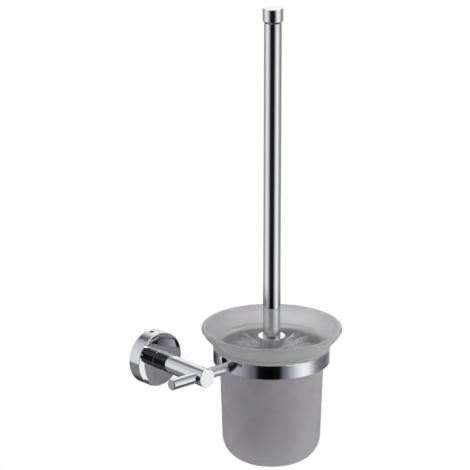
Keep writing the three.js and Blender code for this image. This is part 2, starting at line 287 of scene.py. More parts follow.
def softened(corners, steps=4, loop=False):
    """Rounds the corners of an outline that carry a third number, its rounding. A close line on
    either side of each arc keeps the flat faces flat in the reflections."""
    hold = 0.04
    outline = []
    for number, corner in enumerate(corners):
        point = Vector(corner[:2])
        if len(corner) == 2:
            outline.append(tuple(point))
            continue
        before = (Vector(corners[number - 1][:2]) - point).normalized()
        after = (Vector(corners[(number + 1) % len(corners)][:2]) - point).normalized()
        half = before.angle(after) / 2
        middle = point + (before + after).normalized() * corner[2] / math.sin(half)
        start = point + before * corner[2] / math.tan(half)
        end = point + after * corner[2] / math.tan(half)
        outline.append(tuple(start + before * hold))
        for step in range(steps + 1):
            spoke = (start - middle).lerp(end - middle, step / steps)
            outline.append(tuple(middle + spoke.normalized() * corner[2]))
        outline.append(tuple(end + after * hold))
    if loop:
        outline.append(outline[0])
    return outline


def whole(name, build):
    """The finished build as a piece of its own."""
    mesh = bpy.data.meshes.new(name)
    build.to_mesh(mesh)
    build.free()
    return placed(name, mesh)


def turned(name, outline, sides=144):
    """A solid of revolution about +Z. The outline runs up the outside; a radius or a height may
    be a function of the angle, for key sockets, threads and saddle cuts."""
    build = bmesh.new()
    loop = outline[0] == outline[-1]
    rings = []
    for radius, height in outline[:-1] if loop else outline:
        if radius == 0:
            rings.append([build.verts.new((0, 0, height * MM))])
            continue
        ring = []
        for side in range(sides):
            angle = math.tau * side / sides
            out = (radius(angle) if callable(radius) else radius) * MM
            up = (height(angle) if callable(height) else height) * MM
            ring.append(build.verts.new((out * math.cos(angle), out * math.sin(angle), up)))
        rings.append(ring)
    if loop:
        rings.append(rings[0])
    for lower, upper in zip(rings, rings[1:]):
        for side in range(sides):
            following = (side + 1) % sides
            if len(lower) == 1:
                build.faces.new((lower[0], upper[following], upper[side]))
            elif len(upper) == 1:
                build.faces.new((lower[side], lower[following], upper[0]))
            else:
                build.faces.new((lower[side], lower[following], upper[following], upper[side]))
    return whole(name, build)


def drilled(piece, *drills):
    """Cuts the drills out of the piece and throws them away."""
    for drill in drills:
        cut = piece.modifiers.new("drill", "BOOLEAN")
        cut.operation = "DIFFERENCE"
        cut.solver = "EXACT"
        cut.object = drill
    bpy.context.view_layer.update()
    ready = piece.evaluated_get(bpy.context.evaluated_depsgraph_get())
    mesh = bpy.data.meshes.new_from_object(ready)
    piece.modifiers.clear()
    piece.data = mesh
    for drill in drills:
        bpy.data.objects.remove(drill)


def finished(piece, material, body, node, crisp=32):
    """Smooths a piece but for edges past the crisp angle, and gives it its finish and body."""
    piece.data.shade_smooth()
    piece.data.set_sharp_from_angle(angle=math.radians(crisp))
    piece.data.materials.clear()
    piece.data.materials.append(material)
    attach(piece, body)
    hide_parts(node)


def finish(name, colour, metal, roughness):
    """A new material with its even values set on the shader itself."""
    material = bpy.data.materials.new(name)
    material.use_nodes = True
    shader = material.node_tree.nodes["Principled BSDF"]
    shader.inputs["Base Color"].default_value = (*colour, 1)
    shader.inputs["Metallic"].default_value = metal
    shader.inputs["Roughness"].default_value = roughness
    return material, shader


def grain(material, scale, stretch=(1, 1, 1), detail=4):
    """Noise fixed to the piece, drawn out along the axes given by stretch."""
    nodes, links = material.node_tree.nodes, material.node_tree.links
    where = nodes.new("ShaderNodeTexCoord")
    drawn = nodes.new("ShaderNodeMapping")
    drawn.inputs["Scale"].default_value = stretch
    links.new(where.outputs["Object"], drawn.inputs["Vector"])
    noise = nodes.new("ShaderNodeTexNoise")
    noise.inputs["Scale"].default_value = scale
    noise.inputs["Detail"].default_value = detail
    links.new(drawn.outputs["Vector"], noise.inputs["Vector"])
    return noise.outputs["Fac"]


def spread(material, source, target, low, high, start=0.3, stop=0.7):
    """Runs a shader value between low and high as the grain goes from start to stop."""
    nodes, links = material.node_tree.nodes, material.node_tree.links
    ranged = nodes.new("ShaderNodeMapRange")
    ranged.inputs["From Min"].default_value = start
    ranged.inputs["From Max"].default_value = stop
    ranged.inputs["To Min"].default_value = low
    ranged.inputs["To Max"].default_value = high
    links.new(source, ranged.inputs["Value"])
    links.new(ranged.outputs["Result"], target)


def tinted(material, source, target, dark, light, start=0.3, stop=0.7):
    """Shades a colour from dark to light by the grain."""
    nodes, links = material.node_tree.nodes, material.node_tree.links
    ramp = nodes.new("ShaderNodeValToRGB")
    ramp.color_ramp.elements[0].position = start
    ramp.color_ramp.elements[0].color = (*dark, 1)
    ramp.color_ramp.elements[1].position = stop
    ramp.color_ramp.elements[1].color = (*light, 1)
    links.new(source, ramp.inputs["Fac"])
    links.new(ramp.outputs["Color"], target)


def roughened(material, source, shader, depth):
    """Raises the grain as a fine relief, its depth in millimetres."""
    nodes, links = material.node_tree.nodes, material.node_tree.links
    relief = nodes.new("ShaderNodeBump")
    relief.inputs["Strength"].default_value = 1
    relief.inputs["Distance"].default_value = depth * MM
    links.new(source, relief.inputs["Height"])
    links.new(relief.outputs["Normal"], shader.inputs["Normal"])


zinc, zinc_shader = finish("zinc_plated_steel", (0.62, 0.64, 0.66), 1, 0.38)
tinted(zinc, grain(zinc, 180), zinc_shader.inputs["Base Color"],
       (0.5, 0.53, 0.55), (0.7, 0.71, 0.7))
spread(zinc, grain(zinc, 420), zinc_shader.inputs["Roughness"], 0.28, 0.5)
roughened(zinc, grain(zinc, 2600), zinc_shader, 0.02)

bracket = turned("bracket_disc", softened([
    (0, 0),
    (BRACKET_RADIUS, 0, 0.3),
    (BRACKET_RADIUS, 2.2, 0.15),
    (GROOVE_RADIUS, 3.5, 0.2),
    (GROOVE_RADIUS, 5.5, 0.2),
    (BRACKET_RADIUS - 0.2, BRACKET_DEPTH, 0.15),
    (POCKET_RADIUS, BRACKET_DEPTH, 0.3),
    (POCKET_RADIUS, POCKET_FLOOR, 0.4),
    (0, POCKET_FLOOR),
]), 96)
screw_drills = []
for side in (-1, 1):
    drill = turned("screw_drill", [
        (0, -1),
        (SCREW_HOLE, -1),
        (SCREW_HOLE, 4.8),
        (SCREW_SINK, 6.8),
        (SCREW_SINK, BRACKET_DEPTH + 2),
        (0, BRACKET_DEPTH + 2),
    ], 48)
    drill.data.transform(Matrix.Translation((0, side * SCREW_SPACING / 2 * MM, 0)))
    screw_drills.append(drill)
drilled(bracket, *screw_drills)
bracket.data.transform(OUT_OF_WALL)
finished(bracket, zinc, "holder", "wall_bracket")


# Wall screws. Two countersunk wood screws with a crossed drive, rolled coarse thread and sharp
# point, zinc-plated, driven through the bracket into the wall one above the other.
SCREW_TIP = 12
SCREW_HEAD_TOP = 6.9
WOOD_PITCH = 1.8
WOOD_THREAD_TOP = 3.4
WOOD_THREAD_STEPS = 90


def crossed_drive(arm, half_width):
    """Outline of a crossed screwdriver recess, as a radius by angle."""
    def radius(angle):
        lean = abs((angle + math.pi / 4) % (math.pi / 2) - math.pi / 4)
        if math.tan(lean) * arm <= half_width:
            return arm / math.cos(lean)
        return half_width / math.sin(lean)
    return radius


def wood_thread(crest, root, pitch, height, start, stop):
    """Radius by angle of a coarse thread at one height, run out at both ends."""
    def radius(angle):
        phase = (height / pitch - angle / math.tau) % 1
        ridge = max(0, 1 - abs(phase - 0.5) * 5)
        ends = min(1, (height - start) / pitch, (stop - height) / pitch)
        return root(height) + (crest - root(height)) * ridge * max(0, ends)
    return radius


def wood_core(height):
    """Radius of a wood screw's core, which tapers to its point."""
    return min(1.35, 0.25 + (height + SCREW_TIP) * 0.28)


for name, node, side in (("upper", "wall_screw_upper", 1), ("lower", "wall_screw_lower", -1)):
    outline = [(0, -SCREW_TIP)]
    for step in range(1, WOOD_THREAD_STEPS):
        height = -SCREW_TIP + (SCREW_TIP + WOOD_THREAD_TOP + 0.2) * step / WOOD_THREAD_STEPS
        crest = min(2.0, 0.3 + (height + SCREW_TIP) * 0.42)
        outline.append((
            wood_thread(crest, wood_core, WOOD_PITCH, height, -SCREW_TIP, WOOD_THREAD_TOP),
            height,
        ))
    outline += [(1.7, 3.7), (1.75, 4.5), (2.0, 4.75), (3.95, 6.6), (4.0, 6.75)]
    outline += [(3.9, SCREW_HEAD_TOP), (crossed_drive(2.3, 0.55), SCREW_HEAD_TOP)]
    outline += [(crossed_drive(1.2, 0.4), 5.0), (0, 4.6)]
    screw = turned("wood_screw_" + name, outline, 64)
    screw.data.transform(Matrix.Translation((0, side * SCREW_SPACING / 2 * MM, 0)))
    screw.data.transform(OUT_OF_WALL)
    finished(screw, zinc, "holder", node, 40)


# Rosette. A chromed brass cover, deep-drawn and buffed to a mirror, open at the back and pulled
# tight to the post. It slips over the bracket, and a grub screw near the top of its rim locks it.
FLANGE_RADIUS = 23.5
FLANGE_DEPTH = 13
FLANGE_BORE = 21
FLANGE_PLATE = 3
FACE_EDGE_FALL = 0.27
FACE_FALL = [(22.4, 0.19), (21.5, 0.125), (20.4, 0.065), (19, 0.02), (17.4, 0)]
SCREW_CLEARANCE = 3.3
GRUB_HOLE = 2
GRUB_LEAN = math.radians(5)
GRUB_DEPTH = 4.5


def mirror_chrome(name, buffing):
    """Polished chrome plate: a clear mirror with faint buffing lines, drawn out along the axes
    given by buffing, and a breath of water marks in its roughness."""
    material, shader = finish(name, (0.87, 0.875, 0.885), 1, 0.04)
    marks = grain(material, 40, detail=6)
    spread(material, marks, shader.inputs["Roughness"], 0.0, 0.035, 0.35, 0.7)
    tinted(material, grain(material, 22, detail=2), shader.inputs["Base Color"],
           (0.855, 0.86, 0.875), (0.885, 0.888, 0.893))
    roughened(material, grain(material, 600, buffing), shader, 0.00018)
    return material


rosette = turned("rosette_cover", softened([
    (FLANGE_RADIUS, 0, 0.2),
    (FLANGE_RADIUS, FLANGE_DEPTH - FACE_EDGE_FALL, 0.45),
    *[(radius, FLANGE_DEPTH - fall) for radius, fall in FACE_FALL],
    (SCREW_CLEARANCE, FLANGE_DEPTH, 0.2),
    (SCREW_CLEARANCE, FLANGE_DEPTH - FLANGE_PLATE, 0.2),
    (FLANGE_BORE, FLANGE_DEPTH - FLANGE_PLATE, 1.5),
    (FLANGE_BORE, 0, 0.2),
], 5, loop=True), 240)
grub_drill = turned("grub_drill", [
    (0, FLANGE_BORE - 2), (GRUB_HOLE, FLANGE_BORE - 2), (GRUB_HOLE, 26), (0, 26),
], 40)
upwards = Matrix.Rotation(-math.radians(90), 4, "X")
grub_drill.data.transform(Matrix.Translation((0, 0, GRUB_DEPTH * MM)) @ upwards)
drilled(rosette, grub_drill)
rosette.data.transform(Matrix.Rotation(-GRUB_LEAN, 4, "Y") @ OUT_OF_WALL)
finished(rosette, mirror_chrome("rosette_chrome", (1, 1, 1)), "holder", "wall_flange")


# Grub screws. Two blackened M4 set screws with a key socket: a blunt cone point bites the groove
# of the bracket, and a flat one under the post clamps the cross rail.
M4_PITCH = 0.7
M4_CREST = 1.9
M4_ROOT = 1.5
M4_KEY = 2


def key_socket(across_flats):
    """Outline of a six-sided key socket, as a radius by angle."""
    def radius(angle):
        lean = (angle + math.pi / 6) % (math.pi / 3) - math.pi / 6
        return across_flats / 2 / math.cos(lean)
    return radius


def machine_thread(crest, depth, pitch, height, start, stop):
    """Radius by angle of a fine rolled thread at one height, run out at both ends."""
    def radius(angle):
        phase = (height / pitch - angle / math.tau) % 1
        ends = min(1, (height - start) / pitch * 2, (stop - height) / pitch * 2)
        return crest - depth + depth * abs(phase * 2 - 1) * max(0, ends)
    return radius


def threaded_run(crest, depth, pitch, start, stop):
    """Outline rings for a threaded length, eight to each turn of the thread."""
    steps = max(8, round((stop - start) / pitch * 8))
    rings = []
    for step in range(steps + 1):
        height = start + (stop - start) * step / steps
        rings.append((machine_thread(crest, depth, pitch, height, start, stop), height))
    return rings


def grub_screw(name, length, socket_depth, cone):
    """A headless screw, its coned point at the origin and its key socket at the top."""
    outline = [(0, 0), (M4_ROOT - cone, 0), (M4_ROOT, cone)]
    outline += threaded_run(M4_CREST, 0.4, M4_PITCH, cone + 0.2, length - 0.2)
    outline += [(M4_ROOT, length), (key_socket(M4_KEY), length)]
    outline += [(key_socket(M4_KEY), length - socket_depth), (0, length - socket_depth - 0.3)]
    return turned(name, outline, 72)


black_oxide, black_shader = finish("black_oxide_steel", (0.09, 0.09, 0.095), 1, 0.35)
tinted(black_oxide, grain(black_oxide, 300), black_shader.inputs["Base Color"],
       (0.05, 0.05, 0.055), (0.16, 0.16, 0.165))
spread(black_oxide, grain(black_oxide, 700), black_shader.inputs["Roughness"], 0.25, 0.5)
roughened(black_oxide, grain(black_oxide, 2200), black_shader, 0.015)

rim_grub = grub_screw("rim_grub_screw", 4.7, 2.2, 0.6)
rim_grub.data.transform(Matrix.Translation((0, -GRUB_DEPTH * MM, (BRACKET_RADIUS - 1.2) * MM)))
rim_grub.data.transform(Matrix.Rotation(-GRUB_LEAN, 4, "Y"))
finished(rim_grub, black_oxide, "holder", "flange_grub_screw", 40)

RAIL_DEPTH = 66
RAIL_RADIUS = 4.75
under_grub = grub_screw("post_grub_screw", 2.6, 1.3, 0.2)
under_grub.data.transform(Matrix.Rotation(math.pi, 4, "X"))
under_grub.data.transform(Matrix.Translation((0, -RAIL_DEPTH * MM, -(RAIL_RADIUS + 0.2) * MM)))
finished(under_grub, black_oxide, "holder", "rail_grub_screw", 40)


# Post. A solid brass bar, chromed, with a flat faced front end and a fine edge break. It is
# tapped at the back, cross-drilled for the rail and tapped again underneath for its grub screw.
POST_RADIUS = 8
POST_END = 74
M6_TAP = 3.1
TAP_END = 24.5
RAIL_HOLE = 4.83

post = turned("post_bar", softened([
    (0, 28),
    (2.6, 26, 0.3),
    (M6_TAP, TAP_END, 0.2),
    (M6_TAP, FLANGE_DEPTH, 0.3),
    (POST_RADIUS, FLANGE_DEPTH, 0.25),
    (POST_RADIUS, POST_END, 0.45),
    (0, POST_END),
], 5), 192)
rail_drill = turned("rail_drill", [(0, -14), (RAIL_HOLE, -14), (RAIL_HOLE, 14), (0, 14)], 96)
rail_drill.data.transform(Matrix.Rotation(math.radians(90), 4, "Y"))
rail_drill.data.transform(Matrix.Translation((0, 0, RAIL_DEPTH * MM)))
under_drill = turned("under_drill", [(0, 0), (GRUB_HOLE, 0), (GRUB_HOLE, 12), (0, 12)], 40)
under_drill.data.transform(Matrix.Rotation(math.radians(90), 4, "X"))
under_drill.data.transform(Matrix.Translation((0, 0, RAIL_DEPTH * MM)))
drilled(post, rail_drill, under_drill)
post.data.transform(OUT_OF_WALL)
finished(post, mirror_chrome("post_chrome", (1, 0.05, 1)), "holder", "post")


# Post screw and washer. A zinc-plated M6 socket screw pulls the post against the rosette from
# behind; a split spring washer under its head keeps it tight.
M6_PITCH = 1.0
M6_CREST = 2.9
POST_SCREW_TIP = -26
POST_SCREW_NECK = -8.3
POST_SCREW_HEAD = -4.8
POST_SCREW_KEY = 4
WASHER_STEPS = 88
WASHER_RISE = 0.1
WASHER_GAP = math.radians(12)
WASHER_SECTION = [
    (3.3, 8.55), (5.1, 8.55), (5.2, 8.65), (5.2, 9.65), (5.1, 9.75), (3.3, 9.75),
]

post_screw_outline = [
    (0, POST_SCREW_TIP), (1.9, POST_SCREW_TIP), (2.4, POST_SCREW_TIP + 0.6),
]
post_screw_outline += threaded_run(M6_CREST, 0.6, M6_PITCH, POST_SCREW_TIP + 0.8, -11)
post_screw_outline += softened([
    (2.7, -10.8),
    (2.7, POST_SCREW_NECK, 0.15),
    (5, POST_SCREW_NECK, 0.2),
    (5, POST_SCREW_HEAD, 0.5),
    (2.6, POST_SCREW_HEAD),
], 3)
post_screw_outline += [
    (key_socket(POST_SCREW_KEY), POST_SCREW_HEAD), (key_socket(POST_SCREW_KEY), -6.8), (0, -7.1),
]
INTO_WALL = Matrix.Rotation(-math.radians(90), 4, "X")
post_screw = turned("post_socket_screw", post_screw_outline, 96)
post_screw.data.transform(INTO_WALL)
finished(post_screw, zinc, "holder", "post_screw", 40)

washer_build = bmesh.new()
washer_rings = []
for step in range(WASHER_STEPS + 1):
    angle = WASHER_GAP / 2 + (math.tau - WASHER_GAP) * step / WASHER_STEPS
    lift = WASHER_RISE * (step / WASHER_STEPS - 0.5)
    washer_rings.append([
        washer_build.verts.new((
            out * MM * math.cos(angle), out * MM * math.sin(angle), (up + lift) * MM,
        ))
        for out, up in WASHER_SECTION
    ])
for here, there in zip(washer_rings, washer_rings[1:]):
    for corner in range(len(WASHER_SECTION)):
        following = (corner + 1) % len(WASHER_SECTION)
        washer_build.faces.new((here[corner], there[corner], there[following], here[following]))
washer_build.faces.new(washer_rings[0])
washer_build.faces.new(list(reversed(washer_rings[-1])))
bmesh.ops.recalc_face_normals(washer_build, faces=washer_build.faces)
washer = whole("spring_washer", washer_build)
washer.data.transform(OUT_OF_WALL)
finished(washer, zinc, "holder", "post_lock_washer")


# Cross rail. A thin chromed bar clamped through the post. Its free end is chamfered and its other
# end is saddle-cut to sit snugly against the outside of the ring.
RAIL_FREE_END = -33
RAIL_SHOULDER = 29
RAIL_TAP = 2.6
RAIL_TAP_END = 17
RING_RADIUS = 50
CUP_ACROSS = cup_x / MM
TO_THE_RIGHT = Matrix.Rotation(math.radians(90), 4, "Y")


def saddle(radius):
    """Height by angle where the rail meets the round outside of the ring."""
    def height(angle):
        aside = radius * math.sin(angle)
        return CUP_ACROSS - math.sqrt((RING_RADIUS + 0.02) ** 2 - aside ** 2)
    return height


rail_outline = softened([
    (0, RAIL_FREE_END),
    (RAIL_RADIUS - 0.55, RAIL_FREE_END, 0.12),
    (RAIL_RADIUS, RAIL_FREE_END + 0.55, 0.12),
    (RAIL_RADIUS, RAIL_SHOULDER),
], 3)
rail_outline += [(RAIL_RADIUS, RAIL_SHOULDER + 0.6), (RAIL_RADIUS, saddle(RAIL_RADIUS))]
rail_outline += [(RAIL_TAP, saddle(RAIL_TAP)), (RAIL_TAP, RAIL_TAP_END), (0, RAIL_TAP_END - 1.4)]
rail = turned("rail_bar", rail_outline, 160)
rail.data.transform(TO_THE_RIGHT)
rail.data.transform(Matrix.Translation((0, -RAIL_DEPTH * MM, 0)))
finished(rail, mirror_chrome("rail_chrome", (0.05, 1, 1)), "holder", "cross_rail")


# Ring. A brass band rolled and buffed to a mirror, its edges barely broken. A countersunk hole
# inside takes the screw that pulls it onto the saddle of the rail.
RING_INNER = 47.2
RING_BOTTOM = -5
RING_TOP = 7.5
RING_SCREW_HOLE = 2.6
RING_SCREW_SINK = 4.9
RING_SCREW_TIP = 19
RING_SCREW_KEY = 3
AT_THE_CUP = Matrix.Translation((cup_x, cup_y, 0))

ring = turned("ring_band", softened([
    (RING_RADIUS, RING_BOTTOM, 0.35),
    (RING_RADIUS, RING_TOP, 0.6),
    (RING_INNER, RING_TOP, 0.2),
    (RING_INNER, RING_BOTTOM, 0.2),
], 4, loop=True), 288)
ring_drill = turned("ring_drill", [
    (0, -RING_RADIUS - 1),
    (RING_SCREW_HOLE, -RING_RADIUS - 1),
    (RING_SCREW_HOLE, -RING_INNER - 2.2),
    (RING_SCREW_SINK, -RING_INNER + 0.1),
    (RING_SCREW_SINK, -RING_INNER + 2),
    (0, -RING_INNER + 2),
], 48)
ring_drill.data.transform(TO_THE_RIGHT)
drilled(ring, ring_drill)
ring.data.transform(AT_THE_CUP)
finished(ring, mirror_chrome("ring_chrome", (1, 1, 0.2)), "holder", "ring")

screw_face = CUP_ACROSS - RING_INNER - 0.1
ring_screw_outline = [
    (0, RING_SCREW_TIP), (1.7, RING_SCREW_TIP), (2.0, RING_SCREW_TIP + 0.4),
]
ring_screw_outline += threaded_run(2.45, 0.5, 0.8, RING_SCREW_TIP + 0.6, 29)
ring_screw_outline += [(2.3, 29.2), (2.3, screw_face - 2.1)]
ring_screw_outline += [(4.2, screw_face - 0.15), (4.25, screw_face - 0.08), (4.15, screw_face)]
ring_screw_outline += [
    (key_socket(RING_SCREW_KEY), screw_face),
    (key_socket(RING_SCREW_KEY), screw_face - 1.6),
    (0, screw_face - 1.9),
]
ring_screw = turned("ring_countersunk_screw", ring_screw_outline, 96)
ring_screw.data.transform(TO_THE_RIGHT)
ring_screw.data.transform(Matrix.Translation((0, cup_y, 0)))
finished(ring_screw, black_oxide, "holder", "ring_screw", 40)


# Ring liner. A soft translucent plastic hoop snapped inside the ring, with a thin lip over its
# top edge, so that the glass never touches metal.
LINER_INNER = 45.3
LINER_OUTER = 46.9
LINER_FOOT = -4.5
LIP_OUTER = 49.2
LIP_FOOT = 7.6
LIP_TOP = 8

soft_plastic, soft_shader = finish("soft_clear_plastic", (0.86, 0.86, 0.85), 0, 0.45)
soft_shader.inputs["Transmission Weight"].default_value = 0.35
soft_shader.inputs["IOR"].default_value = 1.46
tinted(soft_plastic, grain(soft_plastic, 60), soft_shader.inputs["Base Color"],
       (0.82, 0.82, 0.8), (0.9, 0.9, 0.89))
spread(soft_plastic, grain(soft_plastic, 500), soft_shader.inputs["Roughness"], 0.4, 0.55)
roughened(soft_plastic, grain(soft_plastic, 1800), soft_shader, 0.02)

liner = turned("ring_liner_hoop", softened([
    (LINER_OUTER, LINER_FOOT, 0.3),
    (LINER_OUTER, LIP_FOOT, 0.15),
    (LIP_OUTER, LIP_FOOT, 0.1),
    (LIP_OUTER, LIP_TOP, 0.15),
    (LINER_INNER, LIP_TOP, 0.9),
    (LINER_INNER, LINER_FOOT, 0.3),
], 3, loop=True), 192)
liner.data.transform(AT_THE_CUP)
finished(liner, soft_plastic, "holder", "ring_liner")


# Glass cup. A pressed soda-glass beaker, acid-etched inside and out. Its round bottom corner runs
# into a slightly tapered wall; a ledge sits on the liner's lip, and above it the rim flares to a
# dish, which is etched more lightly and shows a little more of what is behind it.
RIM_RADIUS = 60
RIM_TOP = 25.1
BODY_TOP_RADIUS = 44.9
BODY_FOOT_RADIUS = 42.2
CUP_BOTTOM = -94
CUP_CORNER = 22
CUP_WALL = 3.4
CUP_FLOOR = 5
LEDGE = RING_TOP + 0.6
CREASE_RADIUS = 50.2
CREASE_HEIGHT = 11.4
# Painted highlights: pale lines in the glass colour along the ledge, the crease, the underside of
# the rim and its top edge, where those edges catch the light. The other colours are the glass's own
# tints.
EDGE_HIGHLIGHT = (0.98, 0.985, 0.975)
RIM_TINT = (0.885, 0.89, 0.872)
BODY_TINT = (0.89, 0.875, 0.885)
BODY_CLEARNESS = 0.655
RIM_CLEARNESS = 0.84
CUP_TINTS_AND_HIGHLIGHTS = [
    (CUP_BOTTOM, (0.88, 0.875, 0.87)), (-70, BODY_TINT), (-5, BODY_TINT), (8, RIM_TINT),
    (8.5, EDGE_HIGHLIGHT), (9, RIM_TINT), (10.8, RIM_TINT), (11.3, EDGE_HIGHLIGHT), (11.8, RIM_TINT),
    (21.9, RIM_TINT), (22.4, EDGE_HIGHLIGHT), (22.9, RIM_TINT), (24.4, RIM_TINT), (RIM_TOP, EDGE_HIGHLIGHT),
]


def flowing(points, steps=6):
    """A smooth line through the points."""
    line = []
    padded = [points[0]] + points + [points[-1]]
    for a, b, c, d in zip(padded, padded[1:], padded[2:], padded[3:]):
        for step in range(steps):
            t = step / steps
            line.append(tuple(
                0.5 * (2 * q + (r - p) * t + (2 * p - 5 * q + 4 * r - s) * t * t
                       + (3 * q - p - 3 * r + s) * t * t * t)
                for p, q, r, s in zip(a, b, c, d)
            ))
    line.append(points[-1])
    return line


def round_foot(wall_radius, floor_height, corner, steps=14):
    """The bottom corner of a cup wall, from its floor up to where the wall starts."""
    line = []
    for step in range(steps + 1):
        turn_by = step / steps * math.pi / 2
        line.append((
            wall_radius - corner + corner * math.sin(turn_by),
            floor_height + corner - corner * math.cos(turn_by),
        ))
    return line


cup_outline = [(0, CUP_BOTTOM + 0.6), (10, CUP_BOTTOM + 0.45), (18, CUP_BOTTOM + 0.1)]
cup_outline += round_foot(BODY_FOOT_RADIUS, CUP_BOTTOM, CUP_CORNER)
cup_outline += softened([
    (BODY_FOOT_RADIUS + 0.1, CUP_BOTTOM + CUP_CORNER + 3),
    (BODY_TOP_RADIUS, LEDGE, 1.2),
    (CREASE_RADIUS - 0.2, LEDGE, 0.6),
    (CREASE_RADIUS + 0.2, CREASE_HEIGHT - 0.8, 0.4),
    (CREASE_RADIUS - 0.8, CREASE_HEIGHT - 0.1, 0.12),
], 5)
cup_outline += flowing([
    (CREASE_RADIUS + 0.1, CREASE_HEIGHT + 0.15), (52.2, 13.3), (55, 16.1), (57.6, 19),
    (RIM_RADIUS - 1.5, 20.8), (RIM_RADIUS - 1.15, 21.8),
], 5)
cup_outline += softened([
    (RIM_RADIUS - 1.1, 22, 0.1),
    (RIM_RADIUS, 22.5, 0.35),
    (RIM_RADIUS, RIM_TOP, 0.8),
    (RIM_RADIUS - 3.4, RIM_TOP - 0.3, 0.35),
    (RIM_RADIUS - 3.8, RIM_TOP - 1.4),
], 5)
cup_outline += flowing([
    (RIM_RADIUS - 3.9, RIM_TOP - 1.6), (54.4, 20.4), (51.6, 16.9), (48, 13), (44.6, 9.4),
    (42.6, 6.2), (BODY_TOP_RADIUS - CUP_WALL, 2),
], 5)
cup_outline += list(reversed(round_foot(
    BODY_FOOT_RADIUS - CUP_WALL, CUP_BOTTOM + CUP_FLOOR, CUP_CORNER - CUP_WALL,
)))
cup_outline.append((0, CUP_BOTTOM + CUP_FLOOR))
cup = turned("etched_glass_cup", cup_outline, 192)
cup.data.transform(AT_THE_CUP)

etched, etched_shader = finish("etched_glass", (0.87, 0.865, 0.87), 0, 0.55)
etched_shader.inputs["IOR"].default_value = 1.45
etched_nodes, etched_links = etched.node_tree.nodes, etched.node_tree.links
etched_place = etched_nodes.new("ShaderNodeTexCoord")
etched_parts = etched_nodes.new("ShaderNodeSeparateXYZ")
etched_links.new(etched_place.outputs["Object"], etched_parts.inputs["Vector"])
up_the_cup = etched_nodes.new("ShaderNodeMapRange")
up_the_cup.inputs["From Min"].default_value = CUP_BOTTOM * MM
up_the_cup.inputs["From Max"].default_value = RIM_TOP * MM
etched_links.new(etched_parts.outputs["Z"], up_the_cup.inputs["Value"])
# Glass colour by height, with the painted highlight lines at the ledge, crease and rim edges.
height_tint_and_highlights = etched_nodes.new("ShaderNodeValToRGB")
tint_and_highlight_stops = height_tint_and_highlights.color_ramp.elements
while len(tint_and_highlight_stops) < len(CUP_TINTS_AND_HIGHLIGHTS):
    tint_and_highlight_stops.new(0.5)
for stop, (height, colour) in zip(tint_and_highlight_stops, CUP_TINTS_AND_HIGHLIGHTS):
    stop.position = (height - CUP_BOTTOM) / (RIM_TOP - CUP_BOTTOM)
    stop.color = (*colour, 1)
etched_links.new(up_the_cup.outputs["Result"], height_tint_and_highlights.inputs["Fac"])
clouded = etched_nodes.new("ShaderNodeMix")
clouded.data_type = "RGBA"
clouded.blend_type = "MULTIPLY"
clouded.inputs["Factor"].default_value = 1
etched_links.new(height_tint_and_highlights.outputs["Color"], clouded.inputs["A"])
tinted(etched, grain(etched, 55, detail=3), clouded.inputs["B"],
       (0.955, 0.915, 0.94), (1, 1, 1), 0.38, 0.5)
etched_links.new(clouded.outputs["Result"], etched_shader.inputs["Base Color"])
spread(etched, up_the_cup.outputs["Result"], etched_shader.inputs["Transmission Weight"],
       BODY_CLEARNESS, RIM_CLEARNESS, 0.82, 0.9)
spread(etched, grain(etched, 90), etched_shader.inputs["Roughness"], 0.46, 0.56)
roughened(etched, grain(etched, 2400, detail=8), etched_shader, 0.025)
finished(cup, etched, "cup", "glass_cup")


# Handle. A drawn brass tube, chromed outside, with a turned knob pressed into its top. A tapped
# plug is pressed into its foot, and the whole foot stands in the counterbore of the collar.
HANDLE_RADIUS = 7.5
HANDLE_BORE = 6.7
HANDLE_FOOT = 13.4
PLUG_RADIUS = 6.4
PLUG_TOP = 32
CAP_RADIUS = 8.75
CAP_FOOT = 290.8
CAP_TOP = 303.3

handle_chrome = mirror_chrome("handle_chrome", (1, 1, 0.04))
tube = turned("handle_tube_drawn", softened([
    (HANDLE_RADIUS, HANDLE_FOOT, 0.2),
    (HANDLE_RADIUS, CAP_FOOT - 0.04, 0.03),
    (HANDLE_BORE, CAP_FOOT - 0.04, 0.03),
    (HANDLE_BORE, HANDLE_FOOT, 0.15),
], 3, loop=True), 144)
tube.data.transform(AT_THE_CUP)
finished(tube, handle_chrome, "brush", "handle_tube")

knob = turned("handle_knob", softened([
    (0, CAP_FOOT - 9),
    (PLUG_RADIUS, CAP_FOOT - 9, 0.5),
    (PLUG_RADIUS, CAP_FOOT, 0.1),
    (CAP_RADIUS - 1.2, CAP_FOOT, 0.03),
    (CAP_RADIUS, CAP_FOOT + 1.9, 0.25),
    (CAP_RADIUS, CAP_TOP, 0.55),
    (0, CAP_TOP),
], 5), 144)
knob.data.transform(AT_THE_CUP)
finished(knob, mirror_chrome("knob_chrome", (1, 1, 0.3)), "brush", "handle_cap")

insert_outline = softened([
    (PLUG_RADIUS, HANDLE_FOOT + 0.2, 0.3),
    (PLUG_RADIUS, PLUG_TOP, 0.4),
    (M6_TAP, PLUG_TOP, 0.3),
], 3)
insert_thread = threaded_run(M6_TAP, 0.15, M6_PITCH, HANDLE_FOOT + 0.8, PLUG_TOP - 1)
insert_outline += list(reversed(insert_thread))
insert_outline += [(M6_TAP, HANDLE_FOOT + 0.2), insert_outline[0]]
insert = turned("handle_plug", insert_outline, 96)
insert.data.transform(AT_THE_CUP)
finished(insert, zinc, "brush", "handle_insert", 40)


# Collar and stud. A thick chromed disc with a softly rounded lower edge closes the top of the
# brush head. A zinc-plated M6 stud runs through it from the handle's plug to the plastic core.
COLLAR_RADIUS = 11.7
COLLAR_FOOT = 9
COLLAR_TOP = 17
COLLAR_SOCKET = 7.62
STUD_FOOT = -14
STUD_TOP = 30

